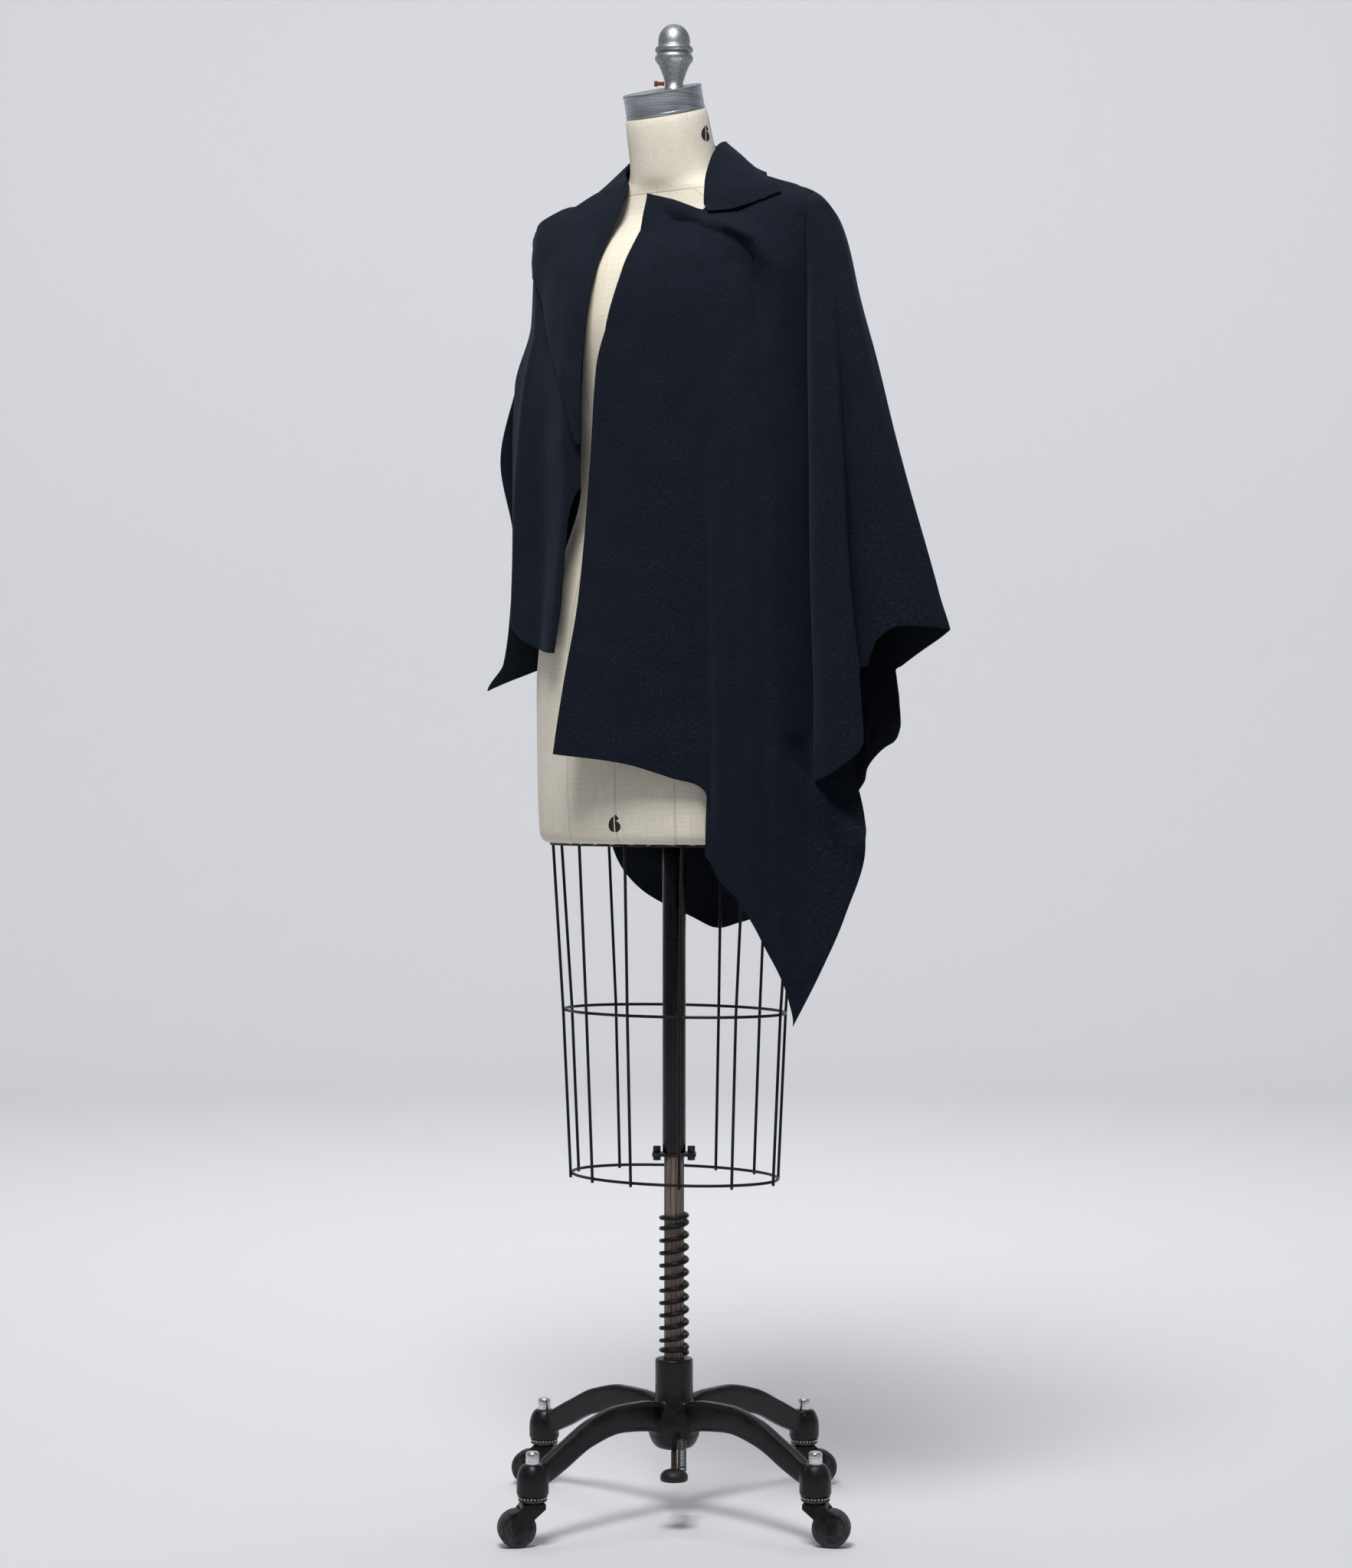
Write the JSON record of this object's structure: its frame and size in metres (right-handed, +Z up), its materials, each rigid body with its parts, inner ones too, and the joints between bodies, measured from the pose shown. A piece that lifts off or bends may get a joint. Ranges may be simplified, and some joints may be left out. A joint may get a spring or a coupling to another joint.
{
  "type": "asymmetric jacket on a limbless dress form",
  "caption": "Cape-like asymmetric wool jacket with one batwing sleeve and a long pointed front, draped on a limbless dress form on a castered iron stand.",
  "frame": {"origin": "on the floor, under the middle of the whole part's bounding box; the pole stands at x = -0.0505, y = 0", "axes": "+Z up, -Y the way the dress form faces, +X towards the wearer's left"},
  "size_m": [0.6164, 0.507, 1.733],
  "materials": {
    "navy_wool": "brushed wool flannel, matt with a soft nap",
    "form_linen": "plain woven linen stretched over papier-mache",
    "board_black": "black stained board",
    "cap_aluminium": "brushed",
    "finial_aluminium": "rough cast",
    "column_black": "satin black enamel",
    "clamp_steel": "blackened",
    "pole_worn": "brown-black enamel worn in upright streaks",
    "spring_black": "satin black enamel",
    "base_cast_iron": "black enamel, slightly rough, chipped on the edges",
    "caster_black": "black, a little worn",
    "stem_chrome": "plated, a little worn",
    "race_steel": "oily steel",
    "wheel_rubber": "dark grey, dusty",
    "cage_wire": "thin black enamel",
    "pedal_brown": "brown, rusty",
    "pedal_black": "black, worn"
  },
  "bodies": {
    "base": {"cast_base": "base_cast_iron", "column_spring": "spring_black", "stem_front_left": "stem_chrome", "stem_front_right": "stem_chrome", "stem_rear_left": "stem_chrome", "stem_rear_right": "stem_chrome", "race_front_left": "race_steel", "race_front_right": "race_steel", "race_rear_left": "race_steel", "race_rear_right": "race_steel"},
    "column": {"dress_form": "form_linen", "form_bottom_board": "board_black", "neck_cap": "cap_aluminium", "finial": "finial_aluminium", "finial_screw": "finial_aluminium", "column_sleeve": "column_black", "clamp_plate": "clamp_steel", "clamp_bolt_left": "clamp_steel", "clamp_bolt_right": "clamp_steel", "pole": "pole_worn", "cage_ring_middle": "cage_wire", "cage_ring_bottom": "cage_wire", "cage_wire_01": "cage_wire", "cage_wire_02": "cage_wire", "cage_wire_03": "cage_wire", "cage_wire_04": "cage_wire", "cage_wire_05": "cage_wire", "cage_wire_06": "cage_wire", "cage_wire_07": "cage_wire", "cage_wire_08": "cage_wire", "cage_wire_09": "cage_wire", "cage_wire_10": "cage_wire", "cage_wire_11": "cage_wire", "cage_wire_12": "cage_wire", "left_front": "navy_wool", "left_sleeve": "navy_wool", "left_back": "navy_wool", "right_back": "navy_wool", "right_front": "navy_wool", "left_collar": "navy_wool", "right_lapel": "navy_wool"},
    "pedal": {"pedal_arm": "pedal_brown", "pedal_pad": "pedal_black"},
    "caster_front_left": {"fork_front_left": "caster_black"},
    "roller_front_left": {"wheel_front_left": "wheel_rubber"},
    "caster_front_right": {"fork_front_right": "caster_black"},
    "roller_front_right": {"wheel_front_right": "wheel_rubber"},
    "caster_rear_left": {"fork_rear_left": "caster_black"},
    "roller_rear_left": {"wheel_rear_left": "wheel_rubber"},
    "caster_rear_right": {"fork_rear_right": "caster_black"},
    "roller_rear_right": {"wheel_rear_right": "wheel_rubber"}
  },
  "joints": [
    {"name": "column_height", "type": "slide", "parent": "base", "child": "column", "axis": [0, 0, 1], "range_m": [-0.05, 0.03]},
    {"name": "pedal_press", "type": "hinge", "parent": "base", "child": "pedal", "pos_m": [-0.0505, 0, 0.073], "axis": [0.8348, 0.5505, 0], "range_deg": [0, 12], "stiffness_Nm_per_rad": 2, "springref_deg": -8.59},
    {"name": "swivel_front_left", "type": "hinge", "parent": "base", "child": "caster_front_left", "pos_m": [-0.09391, -0.22028, 0.0487], "axis": [0, 0, 1], "continuous": true},
    {"name": "roll_front_left", "type": "hinge", "parent": "caster_front_left", "child": "roller_front_left", "pos_m": [-0.10655, -0.23309, 0.02125], "axis": [0.712, -0.7022, 0], "continuous": true},
    {"name": "swivel_front_right", "type": "hinge", "parent": "base", "child": "caster_front_right", "pos_m": [0.16906, -0.04688, 0.0487], "axis": [0, 0, 1], "continuous": true},
    {"name": "roll_front_right", "type": "hinge", "parent": "caster_front_right", "child": "roller_front_right", "pos_m": [0.18582, -0.04031, 0.02125], "axis": [-0.3649, 0.9311, 0], "continuous": true},
    {"name": "swivel_rear_left", "type": "hinge", "parent": "base", "child": "caster_rear_left", "pos_m": [-0.27006, 0.04688, 0.0487], "axis": [0, 0, 1], "continuous": true},
    {"name": "roll_rear_left", "type": "hinge", "parent": "caster_rear_left", "child": "roller_rear_left", "pos_m": [-0.28682, 0.04031, 0.02125], "axis": [0.3649, -0.9311, 0], "continuous": true},
    {"name": "swivel_rear_right", "type": "hinge", "parent": "base", "child": "caster_rear_right", "pos_m": [-0.00709, 0.22028, 0.0487], "axis": [0, 0, 1], "continuous": true},
    {"name": "roll_rear_right", "type": "hinge", "parent": "caster_rear_right", "child": "roller_rear_right", "pos_m": [0.00555, 0.23309, 0.02125], "axis": [-0.712, 0.7022, 0], "continuous": true}
  ]
}
